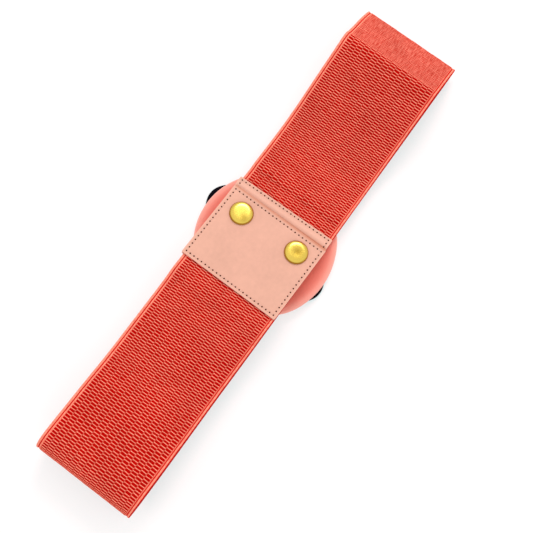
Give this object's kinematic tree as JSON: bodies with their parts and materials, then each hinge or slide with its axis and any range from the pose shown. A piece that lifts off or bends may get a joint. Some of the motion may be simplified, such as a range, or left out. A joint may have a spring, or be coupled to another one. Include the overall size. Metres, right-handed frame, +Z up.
{
  "type": "elastic stretch belt",
  "caption": "Wide coral elastic belt in a closed loop lying face down, with a peach leather snap closure on top and a round padded medallion with a black oval underneath.",
  "frame": {"origin": "on the surface that the belt lies on, under the middle of its overall box", "axes": "+X along the belt towards the folded end with the crease, +Y across the belt, +Z up from the surface"},
  "size_m": [0.3808, 0.1036, 0.0395],
  "materials": {
    "elastic": "ribbed coral-red elastic",
    "peach_leather": "smooth matt pale peach leather",
    "coral_leather": "soft satin coral leather",
    "black_gloss": "polished black",
    "brass": "polished yellow brass"
  },
  "bodies": {
    "root": {"elastic_band": "elastic", "leather_flap": "peach_leather", "leather_tab": "peach_leather", "snap_cap_upper": "brass", "snap_cap_lower": "brass", "snap_stud_upper": "brass", "snap_stud_lower": "brass", "medallion": "coral_leather", "oval_plate": "black_gloss"}
  },
  "joints": []
}
